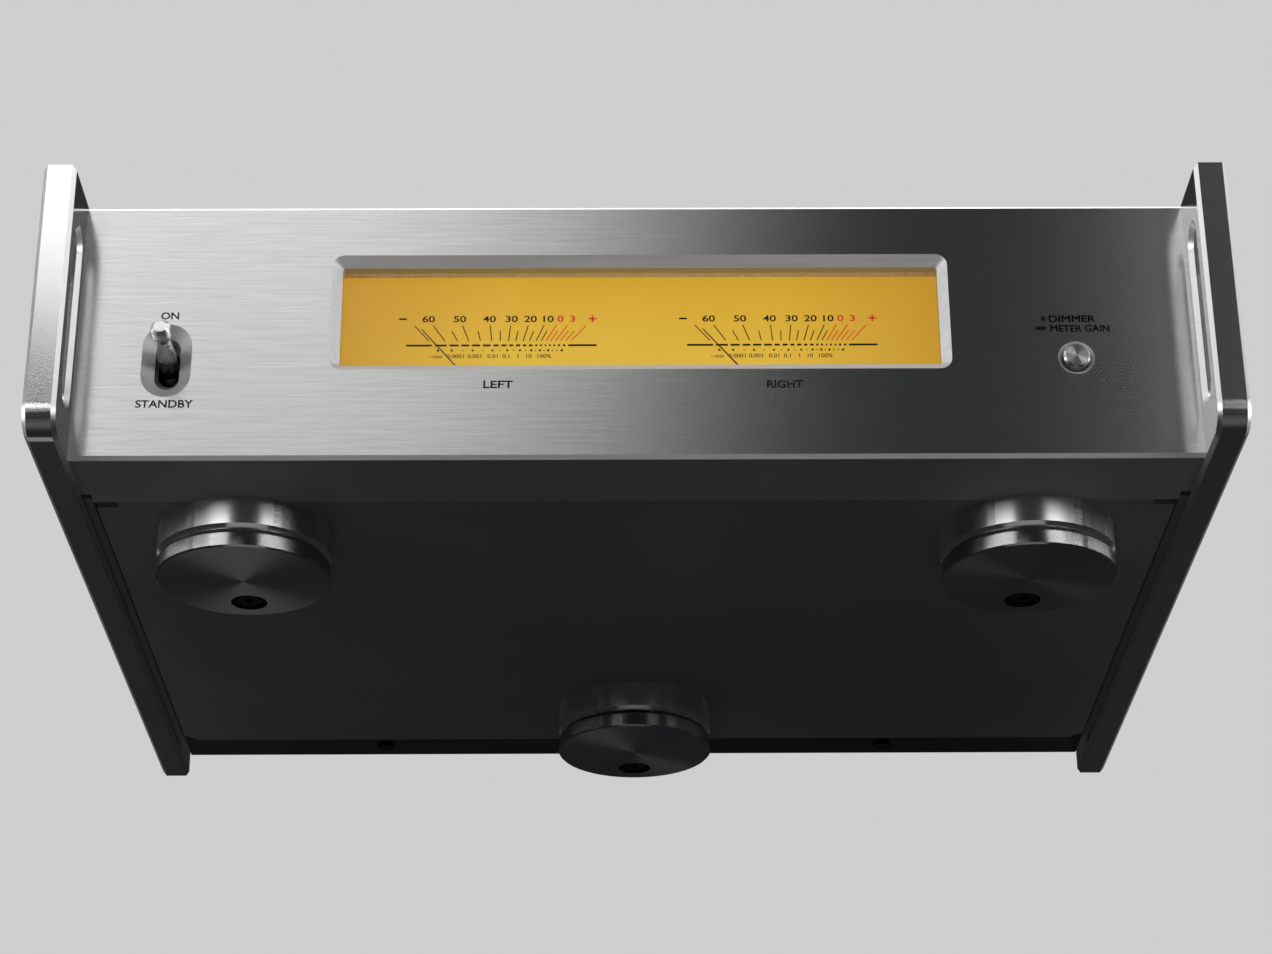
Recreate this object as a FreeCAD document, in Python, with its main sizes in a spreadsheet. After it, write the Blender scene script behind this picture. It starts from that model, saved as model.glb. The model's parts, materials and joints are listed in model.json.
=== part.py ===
import FreeCAD, Part
import math
import os
import re

import Sketcher

# A stereo power amplifier: an aluminium front panel and underside hung between two side plates,
# two level meters behind one window, and the supply, amplifier and input boards inside.
# Millimetres. The origin is on the floor under the middle of the case, +Y is rearward, +Z is up.

doc = FreeCAD.newDocument("power_amplifier")

SIZES = {
    # the case
    "case_low": 13.3,
    "case_high": 83.5,
    "panel_front": -105.75,
    "panel_back": -100.75,
    "panel_half": 137,
    "ledge_rear": -81.35,
    "ledge_thick": 4,
    "panel_bevel": 0.95,
    "notch_wide": 2.5,
    "notch_deep": 4.5,
    "plate_thick": 8,
    "plate_front": -124.35,
    "plate_rear": 115.85,
    "plate_low": 12.3,
    "plate_high": 84.5,
    "plate_bevel": 1,
    "plate_corner": 7,
    "grip_y": -113.95,
    "grip_z": 48.4,
    "grip_wide": 8.6,
    "grip_long": 47.4,
    "grip_bevel": 1.2,
    "sheet_thick": 2,
    "cover_half": 134.2,
    "cover_rear": 87.15,
    "corner_wide": 5.5,
    "corner_deep": 3,
    "corner_cut": 4,
    "rail_low": 14.3,
    "rail_leg": 11,
    "rear_front": 101.75,
    "rear_back": 104.25,
    "flange_low": 14.8,
    "flange_front": 87.45,
    "flange_screw_x": 75,
    "lid_flange": 12,
    "vent_left": -118,
    "vent_right": 28,
    "vent_y": 12,
    "vent_wide": 3,
    "vent_long": 60,
    "vent_pitch": 9,
    "vent_count": 11,
    # the meters
    "window_left": -72.8,
    "window_right": 74.9,
    "window_low": 39.8,
    "window_high": 67.05,
    "window_corner": 0.6,
    "window_bevel": 2.4,
    "meter_x": 1.05,
    "glass_thick": 1.5,
    "glass_margin": 5,
    "housing_half": 78.6,
    "housing_low": 17.6,
    "housing_high": 69.8,
    "housing_rear": -78.25,
    "housing_wall": 1.5,
    "dial_front": -96.25,
    "dial_thick": 0.8,
    "pivot_span": 34.95,
    "pivot_z": 29.8,
    "spindle_hole": 3,
    "movement_radius": 10,
    "movement_rear": -81.6,
    "needle_front": -97.6,
    "needle_thick": 0.3,
    "needle_wide": 0.4,
    "needle_reach": 30.1,
    "needle_tail": 7,
    "needle_rest": 40,
    "hub_front": -98.4,
    "hub_rear": -96.6,
    "hub_radius": 1.8,
    "spindle_radius": 0.6,
    "spindle_rear": -90,
    "running_gap": 0.05,
    "led_pitch": 13,
    # the power toggle
    "toggle_x": -114.8,
    "toggle_z": 40.1,
    "toggle_wide": 6,
    "toggle_long": 13.8,
    "toggle_sink": 2.2,
    "toggle_flare": 3.1,
    "lever_pivot": -96.25,
    "lever_tilt": 7.5,
    "lever_reach": 22,
    "lever_head": 2.35,
    "lever_edge": 0.75,
    "lever_neck": 1.85,
    "lever_root": 2.35,
    "lever_ball": 3.2,
    "lever_tail": 1.2,
    "lever_pin": 0.8,
    "head_long": 3.1,
    "neck_start": 5.2,
    "neck_end": 7.5,
    "root_start": 12.5,
    "ball_half": 1.4,
    "ball_end": 2.6,
    "tail_end": 7,
    # the dimmer button
    "button_x": 107.7,
    "button_z": 40.2,
    "button_radius": 3.3,
    "button_front": -107.25,
    "button_hole": 3.42,
    "button_sink": 1.05,
    "button_edge": 0.5,
    "button_collar": 4.4,
    "button_stem": 1.5,
    # the board behind the front panel
    "front_board_front": -75.75,
    "board_thick": 1.6,
    # the feet
    "foot_radius": 22,
    "foot_x": 99,
    "foot_front_y": -62.45,
    "foot_rear_y": 62.85,
    "disc_low": 5.2,
    "disc_bevel": 1.1,
    "saucer_high": 4.1,
    "saucer_edge": 0.4,
    "saucer_hole": 4.65,
    "saucer_hole_y": 13.5,
    "saucer_floor": 3,
    "saucer_neck": 2.2,
    "dimple_floor": 2,
    "dimple_radius": 2.4,
    "spike_gap": 0.05,
    "stud_radius": 2.5,
    "stud_high": 21,
    "nut_radius": 4.6,
    "nut_thick": 3.6,
    "keeper_radius": 1.5,
    "keeper_head": 3.2,
    # the supply
    "coil_x": -80,
    "coil_y": -12,
    "coil_radius": 45,
    "coil_bore": 14,
    "coil_low": 16.8,
    "coil_thick": 44,
    "pad_thick": 1.5,
    "dish_radius": 32,
    "bolt_radius": 3,
    "board_low": 25.3,
    "board_inset": 4,
    "can_radius": 12.5,
    "can_tall": 38,
    "screw_radius": 1.5,
    "screw_head": 2.7,
    "screw_head_thick": 1.1,
    # the rear sockets
    "post_first": -62,
    "post_span": 19,
    "post_group": 53,
    "post_z": 52,
    "collar_radius": 8,
    "collar_thick": 3,
    "collar_neck": 5,
    "post_radius": 3.5,
    "post_end": 122.85,
    "ring_radius": 7,
    "ring_thick": 2,
    "cap_radius": 7.4,
    "cap_end": 124.35,
    "banana_radius": 2.05,
    "banana_deep": 14,
    "inlet_x": -104,
    "inlet_z": 36,
    "balanced_left": 70,
    "balanced_right": 104,
    "balanced_z": 61,
    "balanced_radius": 12,
    "balanced_deep": 24,
    "balanced_mouth": 9.6,
    "balanced_nose": 7.6,
    "pole_circle": 4,
    "flange_thick": 1.6,
    "phono_left": 66,
    "phono_right": 112,
    "phono_z": 31,
    "phono_radius": 4.15,
    "selector_x": 89,
    "trigger_x": 38,
    "trigger_z": 31,
}


# where the pieces that come in numbers stand
FEET = (("-foot_x", "foot_front_y"), ("foot_x", "foot_front_y"), ("0", "foot_rear_y"))
METERS = (("left", "meter_x - pivot_span"), ("right", "meter_x + pivot_span"))
POSTS = ("post_first", "post_first + post_span",
         "post_first + post_group", "post_first + post_group + post_span")
FLANGE_SCREWS = ("-flange_screw_x", "flange_screw_x")

# each flat board's left, right, front and rear edges
BOARDS = {
    "psu_board": ("-28", "30", "-66", "44"),
    "amp_board_left": ("36", "78", "-66", "62"),
    "amp_board_right": ("84", "126", "-66", "62"),
}


def make_sheet():
    """Writes every driving size to the document's sheet as a plain number with an alias."""
    sheet = doc.addObject("Spreadsheet::Sheet", "Sizes")
    for row, (name, size) in enumerate(SIZES.items(), start=1):
        sheet.set(f"A{row}", name)
        sheet.set(f"B{row}", str(size))
        sheet.setAlias(f"B{row}", name)
    doc.recompute()
    return sheet


def bound(text):
    """An expression on the sheet, from text that names sizes, such as 'panel_half - 3'."""
    return re.sub(r"[a-z][a-z_]*", lambda word: "Sizes." + word.group(), str(text))


make_sheet()
scale = doc.addObject("App::FeaturePython", "Scale")


def number(text):
    """What such an expression comes to."""
    return float(scale.evalExpression(bound(text)))


# ---- PartDesign bodies -------------------------------------------------------------------

nodes = []


def node(label, piece):
    """Names a finished sub-part. The label is also its file's name."""
    piece.Label = label
    nodes.append(piece)
    return piece


def new_body(label):
    """An empty PartDesign body that is a node of its own."""
    return node(label, doc.addObject("PartDesign::Body", label))


def new_sketch(body, role, offset="0"):
    """A sketch on one of the body's origin planes, moved along that plane's normal."""
    sketch = body.newObject("Sketcher::SketchObject", "Sketch")
    plane = next(each for each in body.Origin.OriginFeatures if each.Role == role)
    sketch.AttachmentSupport = [(plane, "")]
    sketch.MapMode = "FlatFace"
    sketch.setExpression(".AttachmentOffset.Base.z", bound(offset))
    return sketch


def pin_point(sketch, edge, end, x, y):
    """Ties a point of the sketch to two sizes, measured from the sketch's origin."""
    for kind, place in (("DistanceX", x), ("DistanceY", y)):
        tie = Sketcher.Constraint(kind, -1, 1, edge, end, number(place))
        index = sketch.addConstraint(tie)
        sketch.setExpression(f"Constraints[{index}]", bound(place))


def outline(sketch, points):
    """A closed outline of straight edges through the given corners."""
    corners = [FreeCAD.Vector(number(x), number(y), 0) for x, y in points]
    first = sketch.GeometryCount
    for start, end in zip(corners, corners[1:] + corners[:1]):
        sketch.addGeometry(Part.LineSegment(start, end), False)
    for i in range(len(points)):
        after = first + (i + 1) % len(points)
        sketch.addConstraint(Sketcher.Constraint("Coincident", first + i, 2, after, 1))
    for i, (x, y) in enumerate(points):
        pin_point(sketch, first + i, 1, x, y)
    return sketch


def rectangle(sketch, left, right, low, high):
    return outline(sketch, [(left, low), (right, low), (right, high), (left, high)])


def circle(sketch, x, y, radius):
    centre = FreeCAD.Vector(number(x), number(y), 0)
    shape = Part.Circle(centre, FreeCAD.Vector(0, 0, 1), number(radius))
    edge = sketch.addGeometry(shape, False)
    pin_point(sketch, edge, 3, x, y)
    index = sketch.addConstraint(Sketcher.Constraint("Radius", edge, number(radius)))
    sketch.setExpression(f"Constraints[{index}]", bound(radius))
    return sketch


def oblong(sketch, x, y, width, length):
    """A slot standing along the sketch's y axis: two half circles and two straight sides."""
    radius = number(width) / 2
    reach = number(length) / 2 - radius
    up = FreeCAD.Vector(0, 0, 1)
    middle = FreeCAD.Vector(number(x), number(y), 0)
    shift = FreeCAD.Vector(0, reach, 0)
    side = FreeCAD.Vector(radius, 0, 0)
    top = sketch.addGeometry(
        Part.ArcOfCircle(Part.Circle(middle + shift, up, radius), 0, math.pi), False)
    left = sketch.addGeometry(Part.LineSegment(middle + shift - side, middle - shift - side), False)
    bottom = sketch.addGeometry(
        Part.ArcOfCircle(Part.Circle(middle - shift, up, radius), math.pi, 2 * math.pi), False)
    right = sketch.addGeometry(Part.LineSegment(middle - shift + side, middle + shift + side), False)
    for here, there in ((top, left), (left, bottom), (bottom, right), (right, top)):
        sketch.addConstraint(Sketcher.Constraint("Tangent", here, 2, there, 1))
    half = f"({length} - ({width})) / 2"
    pin_point(sketch, top, 3, x, f"{y} + {half}")
    pin_point(sketch, bottom, 3, x, f"{y} - {half}")
    index = sketch.addConstraint(Sketcher.Constraint("Radius", top, radius))
    sketch.setExpression(f"Constraints[{index}]", bound(f"({width}) / 2"))
    return sketch


def volume(body):
    """The body's volume so far, which is nothing before its first feature."""
    return 0 if body.Shape.isNull() else body.Shape.Volume


def add_feature(body, kind, sketch, **choices):
    """Adds a feature that reads one sketch, and stops if the body's volume doesn't change."""
    before = volume(body)
    feature = body.newObject("PartDesign::" + kind, kind)
    feature.Profile = sketch
    for name, choice in choices.items():
        if isinstance(choice, str):
            feature.setExpression(name, bound(choice))
        else:
            setattr(feature, name, choice)
    doc.recompute()
    change = volume(body) - before
    if change * (-1 if kind in ("Pocket", "Groove") else 1) < 1e-6:
        raise RuntimeError(f"{kind} in {body.Label} changes nothing")
    return feature


def pad(body, sketch, length, reverse=False, both=False):
    return add_feature(body, "Pad", sketch, Reversed=reverse, Midplane=both, Length=length)


def pocket(body, sketch, length, reverse=False, both=False):
    return add_feature(body, "Pocket", sketch, Reversed=reverse, Midplane=both, Length=length)


def revolve(body, sketch, axis="V_Axis"):
    return add_feature(body, "Revolution", sketch, ReferenceAxis=(sketch, [axis]))


def edges_where(feature, test):
    """The names of the feature's edges whose boxes pass the test."""
    edges = enumerate(feature.Shape.Edges, start=1)
    return [f"Edge{i}" for i, edge in edges if test(edge.BoundBox)]


def dress(body, kind, feature, test, size, **choices):
    """A fillet or chamfer on the edges of a feature whose boxes pass the test."""
    names = edges_where(feature, test)
    if not names:
        raise RuntimeError(f"{kind} in {body.Label} finds no edge")
    dressing = body.newObject("PartDesign::" + kind, kind)
    dressing.Base = (feature, names)
    dressing.setExpression("Radius" if kind == "Fillet" else "Size", bound(size))
    for name, choice in choices.items():
        if isinstance(choice, str) and name != "ChamferType":
            dressing.setExpression(name, bound(choice))
        else:
            setattr(dressing, name, choice)
    doc.recompute()
    return dressing


def repeat(body, feature, sketch, axis, length, count):
    """Copies a feature in a row along one of its sketch's axes."""
    row = body.newObject("PartDesign::LinearPattern", "Row")
    row.Originals = [feature]
    row.Direction = (sketch, [axis])
    row.setExpression("Length", bound(length))
    row.setExpression("Occurrences", bound(count))
    body.Tip = row
    doc.recompute()
    return row


def near(first, second):
    return abs(first - second) < 1e-4


# ---- Part primitives ---------------------------------------------------------------------

TURNS = {
    "X": FreeCAD.Rotation(FreeCAD.Vector(0, 1, 0), 90),
    "Y": FreeCAD.Rotation(FreeCAD.Vector(1, 0, 0), -90),
    "Z": FreeCAD.Rotation(),
}


def place(piece, x, y, z):
    """Binds where a piece stands."""
    for axis, where in (("x", x), ("y", y), ("z", z)):
        piece.setExpression(f".Placement.Base.{axis}", bound(where))
    return piece


def block(x_low, x_high, y_low, y_high, z_low, z_high):
    """A box between two corners."""
    piece = doc.addObject("Part::Box", "Block")
    sides = (("Length", x_low, x_high), ("Width", y_low, y_high), ("Height", z_low, z_high))
    for side, low, high in sides:
        piece.setExpression(side, bound(f"{high} - ({low})"))
    return place(piece, x_low, y_low, z_low)


def rod(axis, x, y, z, radius, length):
    """A cylinder that starts at a point and runs along an axis."""
    piece = doc.addObject("Part::Cylinder", "Rod")
    piece.Placement = FreeCAD.Placement(FreeCAD.Vector(), TURNS[axis])
    piece.setExpression("Radius", bound(radius))
    piece.setExpression("Height", bound(length))
    return place(piece, x, y, z)


def cone(x, y, z, low_radius, high_radius, length):
    """A cone standing on a point."""
    piece = doc.addObject("Part::Cone", "Cone")
    piece.setExpression("Radius1", bound(low_radius))
    piece.setExpression("Radius2", bound(high_radius))
    piece.setExpression("Height", bound(length))
    return place(piece, x, y, z)


def join(*pieces):
    """One solid out of pieces that meet."""
    if len(pieces) == 1:
        return pieces[0]
    whole = doc.addObject("Part::MultiFuse", "Join")
    whole.Shapes = list(pieces)
    return whole


def cut(piece, *tools):
    """A piece with tools taken away."""
    result = doc.addObject("Part::Cut", "Cut")
    result.Base = piece
    result.Tool = join(*tools)
    return result


def group(label, pieces):
    """Identical pieces that share one node as separate solids."""
    whole = doc.addObject("Part::Compound", label)
    whole.Links = list(pieces)
    return node(label, whole)


# ---- the case ----------------------------------------------------------------------------

def make_side_plate(label, inner):
    """A bevelled plate with a rounded lower front corner and a finger slot in its handle."""
    body = new_body(label)
    sketch = new_sketch(body, "YZ_Plane", inner)
    rectangle(sketch, "plate_front", "plate_rear", "plate_low", "plate_high")
    slab = pad(body, sketch, "plate_thick")
    front, low = number("plate_front"), number("plate_low")
    slab = dress(body, "Fillet", slab,
                 lambda box: near(box.YMax, front) and near(box.ZMax, low), "plate_corner")
    slab = dress(body, "Chamfer", slab, lambda box: near(box.XLength, 0), "plate_bevel")
    grip = new_sketch(body, "YZ_Plane", inner)
    oblong(grip, "grip_y", "grip_z", "grip_wide", "grip_long")
    slab = pocket(body, grip, "plate_thick", reverse=True)
    half = number("grip_wide") / 2
    middle = number("grip_y")

    def on_rim(box):
        inside = box.YMin > middle - half - 0.01 and box.YMax < middle + half + 0.01
        return inside and near(box.XLength, 0)

    dress(body, "Chamfer", slab, on_rim, "grip_bevel")


def lies_at(box, y):
    """Whether an edge's box lies in the upright plane at y."""
    return near(box.YMax, y) and near(box.YMin, y)


def rim_test(x, front):
    """A test for the front edges of a small opening that is centred at x."""
    middle = number(x)
    return lambda box: lies_at(box, front) and abs(box.Center.x - middle) < 5 and box.XLength < 10


def make_front_panel():
    """An extruded channel with a bevelled window, the toggle's slot and the button's hole."""
    body = new_body("front_panel")
    section = new_sketch(body, "YZ_Plane")
    outline(section, [
        ("panel_front", "case_low"),
        ("ledge_rear", "case_low"),
        ("ledge_rear", "case_low + ledge_thick"),
        ("panel_back", "case_low + ledge_thick"),
        ("panel_back", "case_high - ledge_thick"),
        ("ledge_rear", "case_high - ledge_thick"),
        ("ledge_rear", "case_high"),
        ("panel_front", "case_high"),
    ])
    channel = pad(body, section, "2 * panel_half", both=True)
    front = number("panel_front")
    edges = (number("case_low"), number("case_high"))

    def on_front_edge(box):
        along = lies_at(box, front) and box.XLength > 100
        return along and (near(box.ZMax, edges[0]) or near(box.ZMin, edges[1]))

    channel = dress(body, "Chamfer", channel, on_front_edge, "panel_bevel")
    window = new_sketch(body, "XZ_Plane", "-panel_front")
    rectangle(window, "window_left", "window_right", "window_low", "window_high")
    channel = pocket(body, window, "panel_back - panel_front")
    left, right = number("window_left"), number("window_right")

    def in_corner(box):
        upright = near(box.XLength, 0) and near(box.ZLength, 0)
        return upright and (near(box.XMin, left) or near(box.XMin, right))

    channel = dress(body, "Fillet", channel, in_corner, "window_corner")
    low, high = number("window_low"), number("window_high")

    def on_window(box):
        within = box.XMin > left - 1 and box.XMax < right + 1 and box.ZMin > low - 1 and box.ZMax < high + 1
        return within and lies_at(box, front)

    channel = dress(body, "Chamfer", channel, on_window, "window_bevel")
    slot = new_sketch(body, "XZ_Plane", "-panel_front")
    oblong(slot, "toggle_x", "toggle_z", "toggle_wide", "toggle_long")
    channel = pocket(body, slot, "panel_back - panel_front")
    channel = dress(body, "Chamfer", channel, rim_test("toggle_x", front),
                    "toggle_flare", ChamferType="Two distances", Size2="toggle_sink")
    hole = new_sketch(body, "XZ_Plane", "-panel_front")
    circle(hole, "button_x", "button_z", "button_hole")
    channel = pocket(body, hole, "panel_back - panel_front")
    channel = dress(body, "Chamfer", channel, rim_test("button_x", front), "button_sink")
    notches = new_sketch(body, "XY_Plane", "case_low")
    for side in ("-1", "1"):
        rectangle(notches, f"{side} * (panel_half - notch_wide)", f"{side} * panel_half",
                  "ledge_rear - notch_deep", "ledge_rear")
    pocket(body, notches, "ledge_thick", reverse=True)


def make_bottom_cover():
    """A folded sheet that carries the boards and feet, notched in front and cut off behind."""
    body = new_body("bottom_cover")
    plan = new_sketch(body, "XY_Plane", "case_low")
    corner = [
        ("cover_half - corner_wide", "ledge_rear"),
        ("cover_half - corner_wide", "ledge_rear + corner_deep"),
        ("cover_half", "ledge_rear + corner_deep"),
        ("cover_half", "cover_rear - corner_cut"),
        ("cover_half - corner_cut", "cover_rear"),
    ]
    mirror = [(f"-1 * ({x})", y) for x, y in reversed(corner)]
    outline(plan, corner + mirror)
    pad(body, plan, "sheet_thick")
    holes = new_sketch(body, "XY_Plane", "case_low")
    for x, y in FEET:
        circle(holes, x, y, "stud_radius + running_gap")
    pocket(body, holes, "sheet_thick", reverse=True)


def make_side_rails():
    """Two angles that join the underside to the side plates."""
    rails = []
    top = "case_low + sheet_thick + sheet_thick"
    for side in ("-1", "1"):
        ends = ["(panel_half - sheet_thick)", "panel_half", "(panel_half - rail_leg)"]
        wall_x = sorted((f"{side} * {x}" for x in ends[:2]), key=number)
        foot_x = sorted((f"{side} * {x}" for x in ends[1:]), key=number)
        span = ("ledge_rear", "cover_rear - running_gap")
        wall = block(*wall_x, *span, "rail_low", top + " + rail_leg")
        foot = block(*foot_x, *span, "case_low + sheet_thick", top)
        rails.append(join(wall, foot))
    group("side_rails", rails)


def make_top_cover():
    """A folded lid with two rows of vent slots."""
    body = new_body("top_cover")
    section = new_sketch(body, "XZ_Plane", "-ledge_rear")
    outline(section, [
        ("-panel_half", "case_high - lid_flange"),
        ("sheet_thick - panel_half", "case_high - lid_flange"),
        ("sheet_thick - panel_half", "case_high - sheet_thick"),
        ("panel_half - sheet_thick", "case_high - sheet_thick"),
        ("panel_half - sheet_thick", "case_high - lid_flange"),
        ("panel_half", "case_high - lid_flange"),
        ("panel_half", "case_high"),
        ("-panel_half", "case_high"),
    ])
    pad(body, section, "rear_back - ledge_rear", reverse=True)
    for start in ("vent_left", "vent_right"):
        slot = new_sketch(body, "XY_Plane", "case_high")
        oblong(slot, start, "vent_y", "vent_wide", "vent_long")
        vent = pocket(body, slot, "sheet_thick")
        repeat(body, vent, slot, "H_Axis", "vent_pitch * (vent_count - 1)", "vent_count")


def make_rear_panel():
    """The rear wall, with a recessed flange folded forward under the case."""
    body = new_body("rear_panel")
    section = new_sketch(body, "YZ_Plane")
    outline(section, [
        ("flange_front", "flange_low"),
        ("rear_back", "flange_low"),
        ("rear_back", "case_high - sheet_thick"),
        ("rear_front", "case_high - sheet_thick"),
        ("rear_front", "flange_low + sheet_thick"),
        ("flange_front", "flange_low + sheet_thick"),
    ])
    pad(body, section, "2 * (panel_half - sheet_thick)", both=True)
    holes = new_sketch(body, "XZ_Plane", "-rear_front")
    for x in POSTS:
        circle(holes, x, "post_z", "collar_neck + running_gap")
    for x in ("balanced_left", "balanced_right"):
        circle(holes, x, "balanced_z", "balanced_radius - 1 + running_gap")
    for x in ("phono_left", "phono_right"):
        circle(holes, x, "phono_z", "phono_radius - 0.5")
    circle(holes, "trigger_x", "trigger_z", "phono_radius - 0.5")
    rectangle(holes, "inlet_x - 13.6", "inlet_x + 13.6", "inlet_z - 9.9", "inlet_z + 9.9")
    rectangle(holes, "selector_x - 5", "selector_x + 5", "phono_z - 2.5", "phono_z + 2.5")
    for x in ("balanced_left", "balanced_right"):
        rectangle(holes, f"{x} - 3.4", f"{x} + 3.4", "balanced_z + 13.4", "balanced_z + 17")
    pocket(body, holes, "rear_back - rear_front")
    screw_holes = new_sketch(body, "XY_Plane", "flange_low")
    for x in FLANGE_SCREWS:
        circle(screw_holes, x, "(flange_front + rear_back) / 2", "screw_radius + running_gap")
    pocket(body, screw_holes, "sheet_thick", reverse=True)


# ---- the meters --------------------------------------------------------------------------

def make_window_glass():
    """The clear pane behind the window's opening."""
    node("window_glass", block(
        "window_left - glass_margin", "window_right + glass_margin - running_gap",
        "panel_back", "panel_back + glass_thick",
        "window_low - glass_margin", "window_high + glass_margin - 2"))


def make_meter_housing():
    """The light box: a shell that is open in front."""
    body = new_body("meter_housing")
    plan = new_sketch(body, "XZ_Plane", "-(panel_back + glass_thick)")
    rectangle(plan, "meter_x - housing_half", "meter_x + housing_half", "housing_low", "housing_high")
    pad(body, plan, "housing_rear - panel_back - glass_thick", reverse=True)
    hollow = new_sketch(body, "XZ_Plane", "-(panel_back + glass_thick)")
    rectangle(hollow, "meter_x - housing_half + housing_wall", "meter_x + housing_half - housing_wall",
              "housing_low + housing_wall", "housing_high - housing_wall")
    pocket(body, hollow, "housing_rear - housing_wall - panel_back - glass_thick")


def make_dial_plate():
    """The amber plate that both scales are printed on, with a hole for each needle's spindle."""
    body = new_body("dial_plate")
    plan = new_sketch(body, "XZ_Plane", "-dial_front")
    rectangle(plan, "meter_x - housing_half + housing_wall + running_gap",
              "meter_x + housing_half - housing_wall - running_gap",
              "housing_low + housing_wall + running_gap", "housing_high - housing_wall - running_gap")
    pad(body, plan, "dial_thick", reverse=True)
    holes = new_sketch(body, "XZ_Plane", "-dial_front")
    for _, x in METERS:
        circle(holes, x, "pivot_z", "spindle_hole")
    pocket(body, holes, "dial_thick")


def make_led_board():
    """The lamp board on the housing's rear wall, with its row of lamps."""
    body = new_body("led_board")
    back = "housing_rear - housing_wall"
    plan = new_sketch(body, "XZ_Plane", f"-({back})")
    rectangle(plan, "meter_x - housing_half + 4", "meter_x + housing_half - 4",
              "pivot_z + movement_radius + 1.5", "housing_high - housing_wall - 2")
    pad(body, plan, "board_thick")
    lamp = new_sketch(body, "XZ_Plane", f"-({back} - board_thick)")
    rectangle(lamp, "meter_x - led_pitch * 5 - 1.5", "meter_x - led_pitch * 5 + 1.5",
              "housing_high - 14", "housing_high - 11")
    lamp_pad = pad(body, lamp, "1")
    repeat(body, lamp_pad, lamp, "H_Axis", "led_pitch * 10", "11")


def make_movements():
    """The two moving-coil movements, which the needles' spindles turn in."""
    movements = []
    for _, x in METERS:
        can = rod("Y", x, "dial_front + dial_thick", "pivot_z", "movement_radius",
                  "movement_rear - dial_front - dial_thick")
        bore = rod("Y", x, "dial_front + dial_thick", "pivot_z", "spindle_radius + running_gap",
                   "spindle_rear - dial_front + running_gap")
        movements.append(cut(can, bore))
    group("meter_movements", movements)


def make_needle(name, x):
    """A needle with its tail, hub and spindle, leaning left to its resting mark."""
    body = new_body(f"needle_{name}")
    blade = new_sketch(body, "XZ_Plane", "-(needle_front - lever_pivot)")
    outline(blade, [
        ("-needle_wide / 2", "0"),
        ("-needle_wide", "-needle_tail"),
        ("needle_wide", "-needle_tail"),
        ("needle_wide / 2", "0"),
        ("needle_wide / 4", "needle_reach"),
        ("-needle_wide / 4", "needle_reach"),
    ])
    pad(body, blade, "needle_thick", reverse=True)
    hub = circle(new_sketch(body, "XZ_Plane", "-(hub_front - lever_pivot)"), "0", "0", "hub_radius")
    pad(body, hub, "hub_rear - hub_front", reverse=True)
    spindle = circle(new_sketch(body, "XZ_Plane", "-(hub_front - lever_pivot)"), "0", "0",
                     "spindle_radius")
    pad(body, spindle, "spindle_rear - hub_front", reverse=True)
    body.Placement = FreeCAD.Placement(FreeCAD.Vector(), FreeCAD.Rotation(FreeCAD.Vector(0, 1, 0), 1))
    body.setExpression(".Placement.Rotation.Angle", bound("-needle_rest"))
    place(body, x, "lever_pivot", "pivot_z")


# ---- the controls ------------------------------------------------------------------------

def make_toggle():
    """The power switch: its guard, its body, its pin and the turned lever."""
    guard = new_body("toggle_guard")
    plan = new_sketch(guard, "XZ_Plane", "-panel_back")
    rectangle(plan, "toggle_x - 7.5", "toggle_x + 7.5", "toggle_z - 12", "toggle_z + 12")
    pad(guard, plan, "1", reverse=True)
    slot = new_sketch(guard, "XZ_Plane", "-panel_back")
    oblong(slot, "toggle_x", "toggle_z", "toggle_wide - 0.8", "toggle_long - 4")
    pocket(guard, slot, "1")

    shell = block("toggle_x - 7", "toggle_x + 7", "panel_back + 1", "front_board_front",
                  "toggle_z - 10", "toggle_z + 10")
    hollow = block("toggle_x - lever_ball - 0.4", "toggle_x + lever_ball + 0.4",
                   "panel_back + 1", "lever_pivot + 9", "toggle_z - 6", "toggle_z + 6")
    pin_hole = rod("X", "toggle_x - 7", "lever_pivot", "toggle_z", "lever_pin", "14")
    node("toggle_body", cut(shell, hollow, pin_hole))
    node("toggle_pin", rod("X", "toggle_x - 6.5", "lever_pivot", "toggle_z",
                           "lever_pin - 0.01", "13"))

    lever = new_body("power_lever")
    half = new_sketch(lever, "XY_Plane")
    outline(half, [
        ("0", "-lever_reach"),
        ("lever_head - lever_edge", "-lever_reach"),
        ("lever_head", "lever_edge - lever_reach"),
        ("lever_head", "head_long - lever_reach"),
        ("lever_neck", "neck_start - lever_reach"),
        ("lever_neck", "neck_end - lever_reach"),
        ("lever_root", "root_start - lever_reach"),
        ("lever_root", "-ball_end"),
        ("lever_ball", "-ball_half"),
        ("lever_ball", "ball_half"),
        ("lever_root", "ball_end"),
        ("lever_tail", "tail_end"),
        ("0", "tail_end"),
    ])
    revolve(lever, half)
    pivot = circle(new_sketch(lever, "YZ_Plane"), "0", "0", "lever_pin + running_gap")
    pocket(lever, pivot, "4 * lever_ball", both=True)
    lever.Placement = FreeCAD.Placement(FreeCAD.Vector(), FreeCAD.Rotation(FreeCAD.Vector(1, 0, 0), 1))
    lever.setExpression(".Placement.Rotation.Angle", bound("-lever_tilt"))
    place(lever, "toggle_x", "lever_pivot", "toggle_z")


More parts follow.
